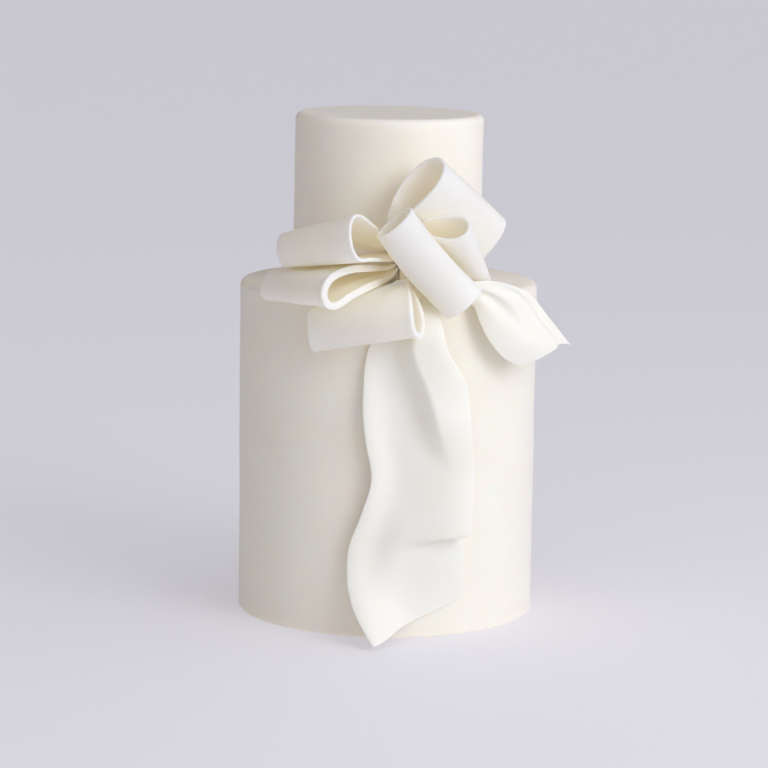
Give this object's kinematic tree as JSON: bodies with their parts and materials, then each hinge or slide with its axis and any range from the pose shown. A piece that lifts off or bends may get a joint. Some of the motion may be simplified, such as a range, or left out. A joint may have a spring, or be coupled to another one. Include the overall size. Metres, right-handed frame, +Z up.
{
  "type": "two-tier wedding cake",
  "caption": "Round two-tier wedding cake under smooth ivory sugar paste, with a large draped sugar-paste ribbon bow at the step and a long tail down the front.",
  "frame": {"origin": "centre of the underside of the bottom tier, where it stands", "axes": "+Z up through the tiers, the bow faces -Y, +X to the right as seen from the front"},
  "size_m": [0.1994, 0.2244, 0.3042],
  "materials": {
    "cake_covering": "ivory sugar paste rolled out and smoothed, satin",
    "bow_paste": "off-white modelling paste, rolled thin and dried, satin"
  },
  "bodies": {
    "root": {"tier_bottom": "cake_covering", "tier_top": "cake_covering", "loop_upper_left": "bow_paste", "loop_mid_left": "bow_paste", "loop_lower_left": "bow_paste", "loop_upper_right": "bow_paste", "loop_inner_right": "bow_paste", "loop_front": "bow_paste", "tail_long": "bow_paste", "tail_right": "bow_paste"}
  },
  "joints": []
}
